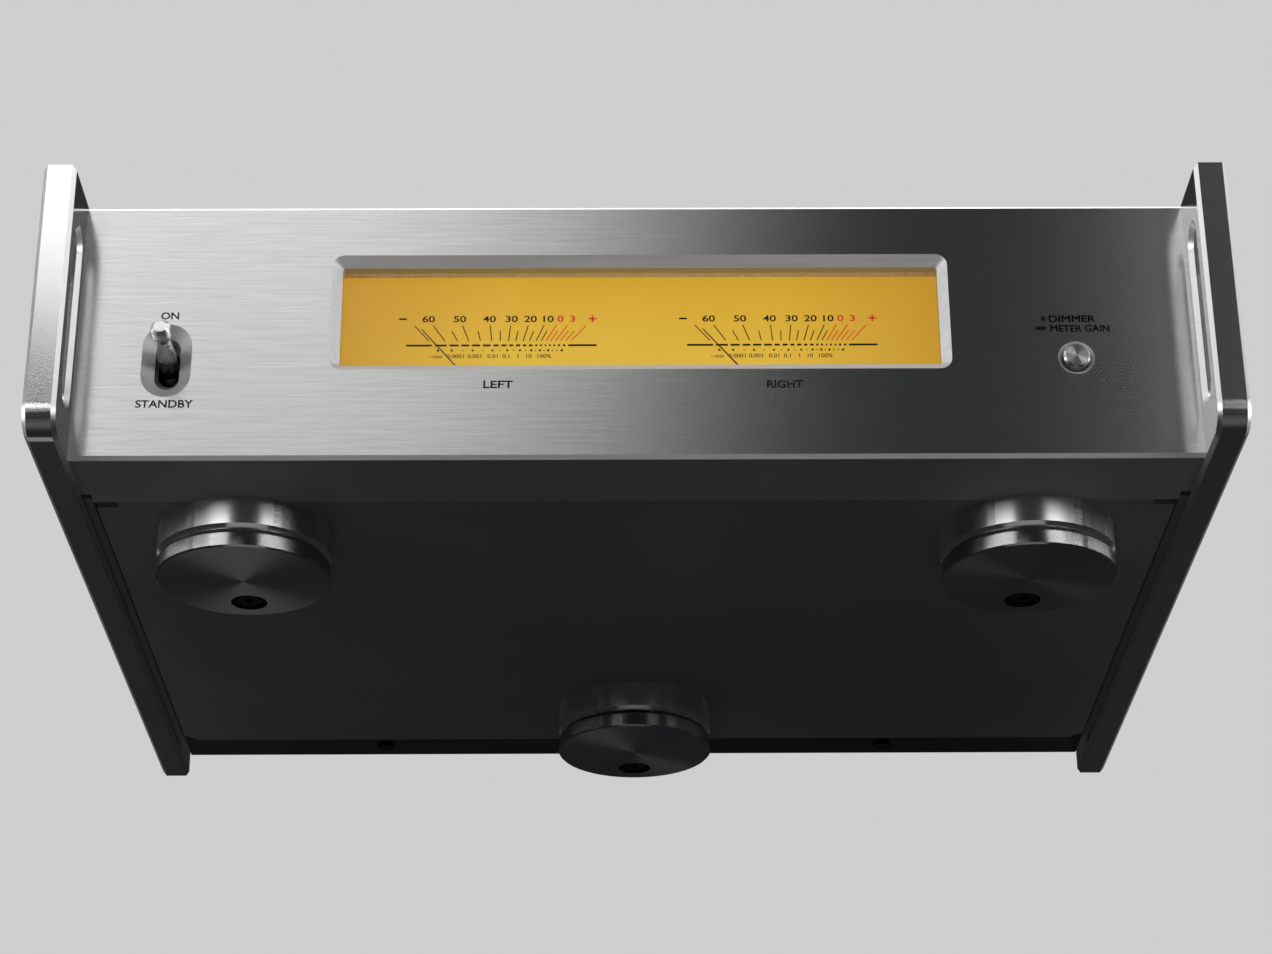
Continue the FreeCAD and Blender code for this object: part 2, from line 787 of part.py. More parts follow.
def make_button():
    """The dimmer button, which slides in the panel's hole, and the switch that it presses."""
    button = new_body("dimmer_button")
    half = new_sketch(button, "XY_Plane")
    outline(half, [
        ("0", "button_front"),
        ("button_radius - button_edge", "button_front"),
        ("button_radius", "button_front + button_edge"),
        ("button_radius", "panel_back + 0.3"),
        ("button_collar", "panel_back + 0.3"),
        ("button_collar", "panel_back + 1.1"),
        ("button_stem", "panel_back + 1.1"),
        ("button_stem", "panel_back + 7"),
        ("0", "panel_back + 7"),
    ])
    revolve(button, half)
    place(button, "button_x", "0", "button_z")

    shell = block("button_x - 6", "button_x + 6", "panel_back + 2.8", "front_board_front",
                  "button_z - 6", "button_z + 6")
    bore = rod("Y", "button_x", "panel_back + 2.8", "button_z", "button_stem + running_gap", "6")
    node("button_body", cut(shell, bore))


def make_front_board():
    """The upright board that the controls' switches are soldered to."""
    node("front_board", block("-126", "126", "front_board_front", "front_board_front + board_thick",
                              "case_low + 8", "case_high - 10"))


# ---- the feet ----------------------------------------------------------------------------

def make_feet():
    """Each foot is a disc on the case, a spike through it, and a loose saucer on a keeper screw."""
    discs = []
    spikes = []
    nuts = []
    keepers = []
    for x, y in FEET:
        rim = rod("Z", x, y, "disc_low + disc_bevel", "foot_radius", "case_low - disc_low - disc_bevel")
        bevel = cone(x, y, "disc_low", "foot_radius - disc_bevel", "foot_radius", "disc_bevel")
        bore = rod("Z", x, y, "disc_low", "stud_radius + running_gap", "case_low - disc_low")
        keeper_hole = rod("Z", x, f"{y} + saucer_hole_y", "disc_low", "keeper_radius + 0.02", "6")
        discs.append(cut(join(rim, bevel), bore, keeper_hole))
        tip = cone(x, y, "dimple_floor + spike_gap", "0.3", "stud_radius",
                   "disc_low - dimple_floor - spike_gap")
        stud = rod("Z", x, y, "disc_low", "stud_radius", "stud_high - disc_low")
        spikes.append(join(tip, stud))
        nut = rod("Z", x, y, "case_low + sheet_thick", "nut_radius", "nut_thick")
        nuts.append(cut(nut, rod("Z", x, y, "case_low + sheet_thick",
                                 "stud_radius + 0.02", "nut_thick")))
        head = rod("Z", x, f"{y} + saucer_hole_y", "0.5", "keeper_head", "1.6")
        shank = rod("Z", x, f"{y} + saucer_hole_y", "2.1", "keeper_radius", "8")
        drive = rod("Z", x, f"{y} + saucer_hole_y", "0.5", "1.2", "1")
        keepers.append(cut(join(head, shank), drive))
    group("foot_discs", discs)
    group("foot_spikes", spikes)
    group("foot_nuts", nuts)
    group("foot_keepers", keepers)
    for name, (x, y) in zip(("front_left", "front_right", "rear"), FEET):
        make_saucer(f"saucer_{name}", x, y)


def make_saucer(label, x, y):
    """A turned disc with a dimple for the spike and a stepped hole for the keeper screw."""
    body = new_body(label)
    half = new_sketch(body, "XZ_Plane")
    outline(half, [
        ("0", "0"),
        ("foot_radius - saucer_edge", "0"),
        ("foot_radius", "saucer_edge"),
        ("foot_radius", "saucer_high - saucer_edge"),
        ("foot_radius - saucer_edge", "saucer_high"),
        ("dimple_radius", "saucer_high"),
        ("0.8", "dimple_floor"),
        ("0", "dimple_floor"),
    ])
    revolve(body, half)
    wide = circle(new_sketch(body, "XY_Plane"), "0", "saucer_hole_y", "saucer_hole")
    pocket(body, wide, "saucer_floor", reverse=True)
    neck = circle(new_sketch(body, "XY_Plane"), "0", "saucer_hole_y", "saucer_neck")
    pocket(body, neck, "saucer_high", reverse=True)
    place(body, x, y, "0")


# ---- the supply and the boards -----------------------------------------------------------

def make_transformer():
    """A toroidal transformer between two rubber pads, held down by a dish and one bolt."""
    body = new_body("transformer")
    half = new_sketch(body, "XZ_Plane")
    soft = 8
    outline(half, [
        ("coil_bore", f"{soft}"),
        (f"coil_bore + {soft}", "0"),
        (f"coil_radius - {soft}", "0"),
        ("coil_radius", f"{soft}"),
        ("coil_radius", f"coil_thick - {soft}"),
        (f"coil_radius - {soft}", "coil_thick"),
        (f"coil_bore + {soft}", "coil_thick"),
        ("coil_bore", f"coil_thick - {soft}"),
    ])
    revolve(body, half)
    place(body, "coil_x", "coil_y", "coil_low")
    pads = []
    for low in ("coil_low - pad_thick", "coil_low + coil_thick"):
        disc = rod("Z", "coil_x", "coil_y", low, "coil_radius - 8", "pad_thick")
        pads.append(cut(disc, rod("Z", "coil_x", "coil_y", low, "bolt_radius + 1", "pad_thick")))
    group("transformer_pads", pads)
    top = "coil_low + coil_thick + pad_thick"
    dish = rod("Z", "coil_x", "coil_y", top, "dish_radius", "1.5")
    node("clamp_dish", cut(dish, rod("Z", "coil_x", "coil_y", top, "bolt_radius + running_gap", "1.5")))
    floor = "case_low + sheet_thick"
    shank = rod("Z", "coil_x", "coil_y", floor, "bolt_radius", f"{top} + 1.5 - ({floor})")
    head = rod("Z", "coil_x", "coil_y", f"{top} + 1.5", "5", "4")
    node("transformer_bolt", join(shank, head))


def board_corners(left, right, front, rear):
    """Where a board's four screws go."""
    return [(x, y) for x in (f"{left} + board_inset", f"{right} - board_inset")
            for y in (f"{front} + board_inset", f"{rear} - board_inset")]


def make_boards():
    """The flat boards, each on four standoffs and held by four screws."""
    standoffs = []
    screws = []
    for label, (left, right, front, rear) in BOARDS.items():
        board = block(left, right, front, rear, "board_low", "board_low + board_thick")
        corners = board_corners(left, right, front, rear)
        holes = [rod("Z", x, y, "board_low", "1.6", "board_thick") for x, y in corners]
        node(label, cut(board, *holes))
        for x, y in corners:
            pillar = rod("Z", x, y, "case_low + sheet_thick", "3", "board_low - case_low - sheet_thick")
            thread = rod("Z", x, y, "board_low - 5", "screw_radius + 0.02", "5")
            standoffs.append(cut(pillar, thread))
            shank = rod("Z", x, y, "board_low - 4.5", "screw_radius", "board_thick + 4.5")
            head = rod("Z", x, y, "board_low + board_thick", "screw_head", "screw_head_thick")
            screws.append(join(shank, head))
    for x in FLANGE_SCREWS:
        middle = "(flange_front + rear_back) / 2"
        head = rod("Z", x, middle, "flange_low - screw_head_thick", "screw_head", "screw_head_thick")
        screws.append(join(head, rod("Z", x, middle, "flange_low", "screw_radius", "board_thick + 4.5")))
    group("board_standoffs", standoffs)
    group("pan_head_screws", screws)


def make_capacitors():
    """Four storage cans on the supply board."""
    cans = [rod("Z", x, y, "board_low + board_thick", "can_radius", "can_tall")
            for x in ("-13", "15") for y in ("-36", "-4")]
    group("supply_capacitors", cans)


def make_heat_spreader(left, right):
    """A finned block on an amplifier board."""
    body = doc.addObject("PartDesign::Body", "Spreader")
    low = "board_low + board_thick"
    plan = new_sketch(body, "XY_Plane", low)
    rectangle(plan, f"{left} + 8", f"{right} - 8", "-52", "44")
    pad(body, plan, "8")
    fin = new_sketch(body, "XY_Plane", f"{low} + 8")
    rectangle(fin, f"{left} + 8", f"{left} + 10", "-52", "44")
    fin_pad = pad(body, fin, "18")
    repeat(body, fin_pad, fin, "H_Axis", "24", "5")
    return body


def make_input_board():
    """The upright board in front of the rear sockets."""
    node("input_board", block("46", "128", "75", "75 + board_thick", "flange_low + 8", "case_high - 9"))


# ---- the rear sockets --------------------------------------------------------------------

def make_inlet():
    """The mains inlet: a shrouded recess with three blades."""
    flange = block("inlet_x - 15.5", "inlet_x + 15.5", "rear_back", "rear_back + 2",
                   "inlet_z - 12", "inlet_z + 12")
    shell = block("inlet_x - 13.5", "inlet_x + 13.5", "rear_back - 17", "rear_back",
                  "inlet_z - 9.8", "inlet_z + 9.8")
    recess = block("inlet_x - 12", "inlet_x + 12", "rear_back - 15", "rear_back + 2",
                   "inlet_z - 8", "inlet_z + 8")
    node("mains_inlet", cut(join(flange, shell), recess))
    blades = []
    for x, z in (("-7", "-1"), ("7", "-1"), ("0", "3")):
        blades.append(block(f"inlet_x + {x} - 1", f"inlet_x + {x} + 1", "rear_back - 15",
                            "rear_back - 5", f"inlet_z + {z} - 2", f"inlet_z + {z} + 2"))
    group("inlet_blades", blades)


def make_balanced_shell(x):
    """A flanged tube that a three-pole plug's shell slides into."""
    body = doc.addObject("PartDesign::Body", "Shell")
    flange = new_sketch(body, "XZ_Plane", "-rear_back")
    rectangle(flange, f"{x} - 13", f"{x} + 13", "balanced_z - 15.5", "balanced_z + 13")
    pad(body, flange, "flange_thick", reverse=True)
    barrel = circle(new_sketch(body, "XZ_Plane", "-rear_back"), x, "balanced_z", "balanced_radius - 1")
    pad(body, barrel, "balanced_deep")
    mouth = circle(new_sketch(body, "XZ_Plane", "-(rear_back + flange_thick)"), x, "balanced_z",
                   "balanced_mouth")
    pocket(body, mouth, "balanced_deep + flange_thick", reverse=True)
    return body


def make_balanced_insert(x):
    """The insulating core inside that tube: a foot that fills it and a narrower nose with three poles."""
    rear = "rear_back - balanced_deep"
    foot = rod("Y", x, rear, "balanced_z", "balanced_mouth - 0.02", "balanced_deep - 16")
    nose = rod("Y", x, "rear_back - 16", "balanced_z", "balanced_nose", "17.4")
    poles = []
    for angle in (90, 210, 330):
        across = f"{x} + pole_circle * {math.cos(math.radians(angle)):.5f}"
        up = f"balanced_z + pole_circle * {math.sin(math.radians(angle)):.5f}"
        poles.append(rod("Y", across, "rear_back - 11", up, "1.3", "13"))
    return cut(join(foot, nose), *poles)


def make_balanced_sockets():
    """Two three-pole input sockets, and the push tab above each that frees its plug."""
    sockets = (("left", "balanced_left"), ("right", "balanced_right"))
    group("balanced_shells", [make_balanced_shell(x) for _, x in sockets])
    group("balanced_inserts", [make_balanced_insert(x) for _, x in sockets])
    for name, x in sockets:
        node(f"latch_tab_{name}", block(f"{x} - 3", f"{x} + 3", "rear_back - 6", "rear_back + 3.4",
                                        "balanced_z + 13.7", "balanced_z + 16.7"))


def make_phono_sockets():
    """Two single-pole input sockets."""
    shells = []
    for x in ("phono_left", "phono_right"):
        barrel = rod("Y", x, "rear_back", "phono_z", "phono_radius", "9")
        stem = rod("Y", x, "rear_front - 6", "phono_z", "phono_radius - 0.6", "rear_back - rear_front + 6")
        bore = rod("Y", x, "rear_back - 2", "phono_z", "1.7", "11")
        shells.append(cut(join(barrel, stem), bore))
    group("phono_sockets", shells)


def make_selector():
    """The input selector: a slide switch behind the panel and the slider that shows through it."""
    shell = block("selector_x - 9", "selector_x + 9", "rear_front - 8", "rear_front",
                  "phono_z - 5", "phono_z + 5")
    hollow = block("selector_x - 5", "selector_x + 5", "rear_front - 5", "rear_front",
                   "phono_z - 2.5", "phono_z + 2.5")
    node("input_selector", cut(shell, hollow))
    node("selector_slider", block("selector_x - 4.6", "selector_x - 0.6", "rear_front - 4.6",
                                  "rear_back + 1.5", "phono_z - 2.1", "phono_z + 2.1"))


def make_trigger_jack():
    """A small round jack for a remote trigger."""
    ring = rod("Y", "trigger_x", "rear_back", "trigger_z", "4.6", "1.5")
    barrel = rod("Y", "trigger_x", "rear_front - 11", "trigger_z", "phono_radius - 0.6",
                 "rear_back - rear_front + 11")
    bore = rod("Y", "trigger_x", "rear_back - 12.5", "trigger_z", "1.8", "14")
    node("trigger_jack", cut(join(ring, barrel), bore))


def make_binding_posts():
    """Four loudspeaker posts: fixed studs and collars, and a clamp ring and a cap on each."""
    studs = []
    collars = []
    for index, x in enumerate(POSTS, start=1):
        stud = rod("Y", x, "rear_front - 9", "post_z", "post_radius", "post_end - rear_front + 9")
        banana = rod("Y", x, "post_end - banana_deep", "post_z", "banana_radius", "banana_deep")
        studs.append(cut(stud, banana))
        wide = rod("Y", x, "rear_back", "post_z", "collar_radius", "collar_thick")
        neck = rod("Y", x, "rear_front - 2", "post_z", "collar_neck", "rear_back - rear_front + 2")
        bore = rod("Y", x, "rear_front - 2", "post_z", "post_radius + 0.02",
                   "rear_back + collar_thick - rear_front + 2")
        collars.append(cut(join(wide, neck), bore))
        make_clamp_ring(index, x)
        make_cap(index, x)
    group("post_studs", studs)
    group("post_collars", collars)


def make_clamp_ring(index, x):
    """The loose washer that a cap presses a wire against."""
    low = "rear_back + collar_thick + 0.1"
    disc = rod("Y", x, low, "post_z", "ring_radius", "ring_thick")
    node(f"clamp_ring_{index}",
         cut(disc, rod("Y", x, low, "post_z", "post_radius + running_gap", "ring_thick")))


def make_cap(index, x):
    """A cap with scalloped grips that screws along the stud."""
    body = new_body(f"post_cap_{index}")
    low = "rear_back + collar_thick + ring_thick + 0.2"
    half = new_sketch(body, "XY_Plane")
    outline(half, [
        ("post_radius + running_gap", low),
        ("cap_radius - 0.8", low),
        ("cap_radius", f"{low} + 0.8"),
        ("cap_radius", "cap_end - 1.2"),
        ("cap_radius - 1.2", "cap_end"),
        ("post_radius + running_gap", "cap_end"),
    ])
    revolve(body, half)
    flute = circle(new_sketch(body, "XZ_Plane", "-cap_end"), "cap_radius + 0.9", "0", "1.7")
    groove = pocket(body, flute, f"cap_end - ({low}) - 3", reverse=True)
    ring = body.newObject("PartDesign::PolarPattern", "Flutes")
    ring.Originals = [groove]
    ring.Axis = (flute, ["N_Axis"])
    ring.Angle = 360
    ring.Occurrences = 12
    body.Tip = ring
    doc.recompute()
    place(body, x, "0", "post_z")


# ---- building, checking and writing ------------------------------------------------------

make_side_plate("side_plate_left", "-panel_half - plate_thick")
make_side_plate("side_plate_right", "panel_half")
make_front_panel()
make_bottom_cover()
make_side_rails()
make_top_cover()
make_rear_panel()
make_window_glass()
make_meter_housing()
make_dial_plate()
make_led_board()
make_movements()
for side_name, pivot_x in METERS:
    make_needle(side_name, pivot_x)
make_toggle()
make_button()
make_front_board()
make_feet()
make_transformer()
make_boards()
make_capacitors()
group("heat_spreaders", [
    make_heat_spreader(*BOARDS["amp_board_left"][:2]),
    make_heat_spreader(*BOARDS["amp_board_right"][:2]),
])
make_input_board()
make_inlet()
make_balanced_sockets()
make_phono_sockets()
make_selector()
make_trigger_jack()
make_binding_posts()
doc.recompute()

for each in doc.Objects:
    if "Invalid" in each.State or "Error" in each.State:
        raise RuntimeError(f"{each.Label} is {each.State}")
for piece in nodes:
    if piece.Shape.isNull() or not piece.Shape.isValid():
        raise RuntimeError(f"{piece.Label} has no sound shape")

os.makedirs("parts", exist_ok=True)
for piece in nodes:
    piece.Shape.exportStep(f"parts/{piece.Label}.step")
    print(f"{piece.Label}: {len(piece.Shape.Solids)} solids, {piece.Shape.Volume:.0f} mm3")
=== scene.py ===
import json
import math

import bpy
from mathutils import Matrix, Vector


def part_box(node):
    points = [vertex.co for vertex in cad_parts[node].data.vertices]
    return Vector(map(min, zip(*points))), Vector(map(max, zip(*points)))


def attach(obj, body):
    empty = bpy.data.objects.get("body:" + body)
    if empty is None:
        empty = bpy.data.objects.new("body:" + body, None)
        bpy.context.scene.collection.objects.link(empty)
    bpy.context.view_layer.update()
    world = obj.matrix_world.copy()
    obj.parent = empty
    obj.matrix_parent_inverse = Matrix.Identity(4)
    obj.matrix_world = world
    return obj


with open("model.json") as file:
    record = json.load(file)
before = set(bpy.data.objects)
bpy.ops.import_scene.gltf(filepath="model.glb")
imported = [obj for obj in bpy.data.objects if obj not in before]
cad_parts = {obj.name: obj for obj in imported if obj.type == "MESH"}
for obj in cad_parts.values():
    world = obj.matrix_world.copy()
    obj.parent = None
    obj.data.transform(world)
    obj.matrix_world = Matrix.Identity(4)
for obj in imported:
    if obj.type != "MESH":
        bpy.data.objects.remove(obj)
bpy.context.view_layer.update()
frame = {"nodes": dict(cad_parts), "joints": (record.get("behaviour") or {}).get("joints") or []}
nodes = frame["nodes"]
MM = 0.001


# ---- places read from the frame ----------------------------------------------------------

def middle(node):
    """The centre of a CAD node's box."""
    low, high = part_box(node)
    return (low + high) / 2


dial_low, dial_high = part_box("dial_plate")
panel_low, panel_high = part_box("front_panel")
button_middle = middle("dimmer_button")
toggle_middle = middle("toggle_guard")
saucer_middles = {name: middle(f"saucer_{name}") for name in ("front_left", "front_right", "rear")}
pivots = {}
for joint in frame["joints"]:
    if joint["name"].startswith("needle_swing"):
        pivots[joint["name"].rsplit("_", 1)[1]] = Vector(joint["pos_m"])
window_middle = (pivots["left"].x + pivots["right"].x) / 2


# ---- shader building ---------------------------------------------------------------------

class Shader:
    """A material's node tree, with short calls for the nodes that these finishes use."""

    def __init__(self, name):
        self.material = bpy.data.materials.new(name)
        self.material.use_nodes = True
        self.tree = self.material.node_tree
        self.surface = self.tree.nodes["Principled BSDF"]
        self.coords = self.add("ShaderNodeTexCoord").outputs["Object"]

    def add(self, kind, **settings):
        made = self.tree.nodes.new(kind)
        for name, value in settings.items():
            setattr(made, name, value)
        return made

    def join(self, source, target):
        self.tree.links.new(source, target)

    def put(self, socket, value):
        """Sets a socket to a constant, or links it to another node's output."""
        if isinstance(value, bpy.types.NodeSocket):
            self.join(value, socket)
        else:
            socket.default_value = value

    def set(self, **values):
        """Sets sockets of the principled shader, named with underscores for spaces."""
        for name, value in values.items():
            self.put(self.surface.inputs[name.replace("_", " ")], value)
        return self

    def stretched(self, scale):
        """Object coordinates multiplied by three numbers."""
        mapping = self.add("ShaderNodeMapping")
        self.join(self.coords, mapping.inputs["Vector"])
        mapping.inputs["Scale"].default_value = scale
        return mapping.outputs["Vector"]

    def noise(self, scale, stretch=(1, 1, 1), detail=4.0):
        """Fractal noise, with its grain stretched along the axes of small stretch."""
        texture = self.add("ShaderNodeTexNoise")
        self.join(self.stretched(stretch), texture.inputs["Vector"])
        texture.inputs["Scale"].default_value = scale
        texture.inputs["Detail"].default_value = detail
        texture.inputs["Roughness"].default_value = 0.6
        return texture.outputs["Fac"]

    def math(self, operation, first, second=0.0):
        worker = self.add("ShaderNodeMath", operation=operation)
        self.put(worker.inputs[0], first)
        self.put(worker.inputs[1], second)
        return worker.outputs[0]

    def remap(self, value, low, high, new_low, new_high):
        """Maps one range of a value to another, without going past its ends."""
        ranger = self.add("ShaderNodeMapRange")
        self.put(ranger.inputs["Value"], value)
        ends = {"From Min": low, "From Max": high, "To Min": new_low, "To Max": new_high}
        for name, number in ends.items():
            ranger.inputs[name].default_value = number
        return ranger.outputs["Result"]

    def mix(self, share, first, second):
        """A colour between two others."""
        mixer = self.add("ShaderNodeMix", data_type="RGBA")
        self.put(mixer.inputs["Factor"], share)
        self.put(mixer.inputs["A"], first)
        self.put(mixer.inputs["B"], second)
        return mixer.outputs["Result"]

    def bump(self, height, distance, strength):
        bumper = self.add("ShaderNodeBump")
        bumper.inputs["Strength"].default_value = strength
        bumper.inputs["Distance"].default_value = distance
        self.join(height, bumper.inputs["Height"])
        return bumper.outputs["Normal"]

    def axis(self, vector, name):
        splitter = self.add("ShaderNodeSeparateXYZ")
        self.join(vector, splitter.inputs[0])
        return splitter.outputs[name]

    def slanted(self):
        """1 where the surface faces between the axes, as a machined bevel does, and 0 elsewhere."""
        normal = self.add("ShaderNodeNewGeometry").outputs["True Normal"]
        flats = [self.math("ABSOLUTE", self.axis(normal, name)) for name in "XYZ"]
        largest = self.math("MAXIMUM", self.math("MAXIMUM", flats[0], flats[1]), flats[2])
        return self.remap(largest, 0.93, 0.80, 0.0, 1.0)

    def away_from(self, centre):
        """Each point's offset from a place, which is three numbers or another node's output."""
        offset = self.add("ShaderNodeVectorMath", operation="SUBTRACT")
        self.join(self.coords, offset.inputs[0])
        self.put(offset.inputs[1], centre)
        return offset.outputs[0]

    def nearest_foot(self):
        """The middle of the foot that a point is on: two feet stand at the front and one at the rear."""
        front = self.math("LESS_THAN", self.axis(self.coords, "Y"), 0.0)
        side = self.math("SIGN", self.axis(self.coords, "X"))
        place = self.add("ShaderNodeCombineXYZ")
        reach = self.math("MULTIPLY", side, saucer_middles["front_right"].x)
        self.join(self.math("MULTIPLY", reach, front), place.inputs["X"])
        depth = self.remap(front, 0, 1, saucer_middles["rear"].y, saucer_middles["front_left"].y)
        self.join(depth, place.inputs["Y"])
        return place.outputs[0]

    def lathe(self, offset, axis, anisotropic):
        """Stretches highlights across the rings that a lathe leaves round an axis."""
        cross = self.add("ShaderNodeVectorMath", operation="CROSS_PRODUCT")
        cross.inputs[0].default_value = axis
        self.join(offset, cross.inputs[1])
        self.join(cross.outputs[0], self.surface.inputs["Tangent"])
        self.set(Anisotropic=anisotropic, Anisotropic_Rotation=0.25)

    def rings(self, offset, across, scale):
        """Fine rings round an axis; across is 1 on the two axes that the radius is measured in."""
        flat = self.add("ShaderNodeVectorMath", operation="MULTIPLY")
        self.join(offset, flat.inputs[0])
        flat.inputs[1].default_value = across
        radius = self.add("ShaderNodeVectorMath", operation="LENGTH")
        self.join(flat.outputs[0], radius.inputs[0])
        texture = self.add("ShaderNodeTexNoise", noise_dimensions="1D")
        self.join(radius.outputs["Value"], texture.inputs["W"])
        texture.inputs["Scale"].default_value = scale
        texture.inputs["Detail"].default_value = 2.0
        return texture.outputs["Fac"]


def grey(level):
    return (level, level, level * 1.01, 1)


# ---- finishes ----------------------------------------------------------------------------

def brushed_panel():
    """Aluminium brushed along X."""
    shader = Shader("brushed_panel")
    fine = shader.noise(1.0, (40, 2600, 2600), detail=3)
    broad = shader.noise(1.0, (70, 1700, 1700), detail=4)
    cloud = shader.noise(6.0, detail=2)
    grain = shader.math("ADD", shader.math("MULTIPLY", fine, 0.6), shader.math("MULTIPLY", broad, 0.4))
    shade = shader.mix(shader.remap(grain, 0.35, 0.65, 0, 1), grey(0.64), grey(0.77))
    shade = shader.mix(shader.remap(cloud, 0.3, 0.7, 0, 0.12), shade, grey(0.64))
    shader.set(Base_Color=shade, Metallic=1.0, Anisotropic=0.96, Roughness=0.27)
    upright = shader.add("ShaderNodeCombineXYZ")
    upright.inputs["Z"].default_value = 1.0
    shader.join(upright.outputs[0], shader.surface.inputs["Tangent"])
    return shader.material


def cut_bevel(name, level):
    """A machined bevel: satin, with faint cutter lines."""
    shader = Shader(name)
    lines = shader.noise(1.0, (30, 900, 900), detail=2)
    shader.set(Base_Color=shader.mix(shader.remap(lines, 0.3, 0.7, 0, 1), grey(level * 0.87), grey(level)),
               Metallic=0.45, Roughness=shader.remap(lines, 0.3, 0.7, 0.44, 0.52))
    return shader.material


def blasted_plate():
    """Bead-blasted aluminium with bright cut bevels."""
    shader = Shader("blasted_plate")
    beads = shader.noise(3800.0, detail=2)
    cloud = shader.noise(9.0, detail=3)
    bevel = shader.slanted()
    cut_lines = shader.noise(1.0, (1500, 40, 40), detail=2)
    shade = shader.mix(shader.remap(cloud, 0.3, 0.7, 0, 1), grey(0.56), grey(0.63))
    shade = shader.mix(shader.remap(beads, 0.35, 0.65, 0, 0.35), shade, grey(0.74))
    shader.set(Base_Color=shader.mix(bevel, shade, grey(0.52)), Metallic=1.0)
    blasted = shader.remap(beads, 0.3, 0.7, 0.13, 0.20)
    shader.set(Roughness=shader.mix(bevel, blasted, shader.remap(cut_lines, 0.3, 0.7, 0.28, 0.36)))
    shader.set(Normal=shader.bump(beads, 0.00003, 0.3))
    return shader.material


def dark_satin(name, level, rough):
    """Black paint with a fine, slightly uneven texture; on the panel's ledge its dark grey is painted shade
    on the aluminium.
    """
    shader = Shader(name)
    grain = shader.noise(2600.0, detail=3)
    cloud = shader.noise(7.0, detail=3)
    shader.set(Base_Color=shader.mix(shader.remap(cloud, 0.3, 0.7, 0, 1), grey(level), grey(level * 1.5)))
    shader.set(Roughness=shader.remap(grain, 0.3, 0.7, rough - 0.06, rough + 0.08), Specular_IOR_Level=0.45)
    shader.set(Normal=shader.bump(grain, 0.00006, 0.45))
    return shader.material


def satin_metal(name, level, rough, tint=(1, 1, 1)):
    """Plain satin metal with small scratches and an uneven sheen."""
    shader = Shader(name)
    scratches = shader.noise(1.0, (60, 900, 900), detail=3)
    cloud = shader.noise(30.0, detail=3)
    low = tuple(level * each * 0.86 for each in tint) + (1,)
    high = tuple(level * each for each in tint) + (1,)
    shader.set(Base_Color=shader.mix(shader.remap(cloud, 0.3, 0.7, 0, 1), low, high), Metallic=1.0)
    shader.set(Roughness=shader.remap(scratches, 0.3, 0.7, rough - 0.05, rough + 0.07))
    shader.set(Normal=shader.bump(scratches, 0.00001, 0.3))
    return shader.material


def turned_feet(name, level, face_rough, rim_rough):
    """Metal turned on a lathe round each foot's own axis, with a finer cut on its bevels."""
    shader = Shader(name)
    offset = shader.away_from(shader.nearest_foot())
    shader.lathe(offset, (0, 0, 1), 0.85)
    normal = shader.add("ShaderNodeNewGeometry").outputs["True Normal"]
    flat = shader.remap(shader.math("ABSOLUTE", shader.axis(normal, "Z")), 0.8, 0.95, 0, 1)
    rings = shader.math("MULTIPLY", shader.rings(offset, (1, 1, 0), 5200.0), flat)
    turns = shader.noise(1.0, (20, 20, 2500), detail=2)
    bevel = shader.slanted()
    shade = shader.mix(shader.remap(rings, 0.3, 0.7, 0, 1), grey(level * 0.82), grey(level))
    shader.set(Base_Color=shade, Metallic=1.0)
    face = shader.remap(rings, 0.3, 0.7, face_rough - 0.05, face_rough + 0.06)
    shader.set(Roughness=shader.mix(bevel, face, shader.remap(turns, 0.3, 0.7, rim_rough, rim_rough + 0.05)))
    shader.set(Normal=shader.bump(rings, 0.00001, 0.5))
    return shader.material


def turned_face(name, centre, level, rough):
    """Metal whose front face was turned round an axis that runs front to back."""
    shader = Shader(name)
    offset = shader.away_from(centre)
    shader.lathe(offset, (0, 1, 0), 0.8)
    rings = shader.rings(offset, (1, 0, 1), 9000.0)
    shader.set(Base_Color=shader.mix(shader.remap(rings, 0.3, 0.7, 0, 1), grey(level * 0.85), grey(level)),
               Metallic=1.0, Roughness=shader.remap(rings, 0.3, 0.7, rough - 0.04, rough + 0.05))
    shader.set(Normal=shader.bump(rings, 0.00001, 0.5))
    return shader.material


def polished_metal(name, level, rough):
    """Polished metal with faint handling marks."""
    shader = Shader(name)
    marks = shader.noise(400.0, detail=4)
    shader.set(Base_Color=shader.mix(shader.remap(marks, 0.4, 0.7, 0, 1), grey(level), grey(level * 0.9)),
               Metallic=1.0, Roughness=shader.remap(marks, 0.35, 0.75, rough, rough + 0.08))
    shader.set(Normal=shader.bump(marks, 0.00001, 0.08))
    return shader.material


def moulded_plastic(name, colour, rough, grain=900.0):
    """Moulded plastic with a fine spark-eroded texture."""
    shader = Shader(name)
    texture = shader.noise(grain, detail=3)
    dark = tuple(each * 0.8 for each in colour) + (1,)
    light = tuple(min(1, each * 1.15) for each in colour) + (1,)
    shader.set(Base_Color=shader.mix(shader.remap(texture, 0.3, 0.7, 0, 1), dark, light))
    shader.set(Roughness=shader.remap(texture, 0.3, 0.7, rough - 0.05, rough + 0.08))
    shader.set(Normal=shader.bump(texture, 0.00005, 0.3))
    return shader.material


def circuit_board():
    """Green solder mask over faint copper tracks."""
    shader = Shader("circuit_board")
    tracks = shader.add("ShaderNodeTexBrick")
    shader.join(shader.stretched((160, 160, 160)), tracks.inputs["Vector"])
    tracks.inputs["Mortar Size"].default_value = 0.06
    tracks.inputs["Color1"].default_value = (0.012, 0.10, 0.035, 1)
    tracks.inputs["Color2"].default_value = (0.010, 0.085, 0.03, 1)
    tracks.inputs["Mortar"].default_value = (0.03, 0.19, 0.07, 1)
    shader.set(Base_Color=tracks.outputs["Color"], Roughness=0.35)
    shader.set(Normal=shader.bump(tracks.outputs["Fac"], 0.00004, 0.5))
    return shader.material


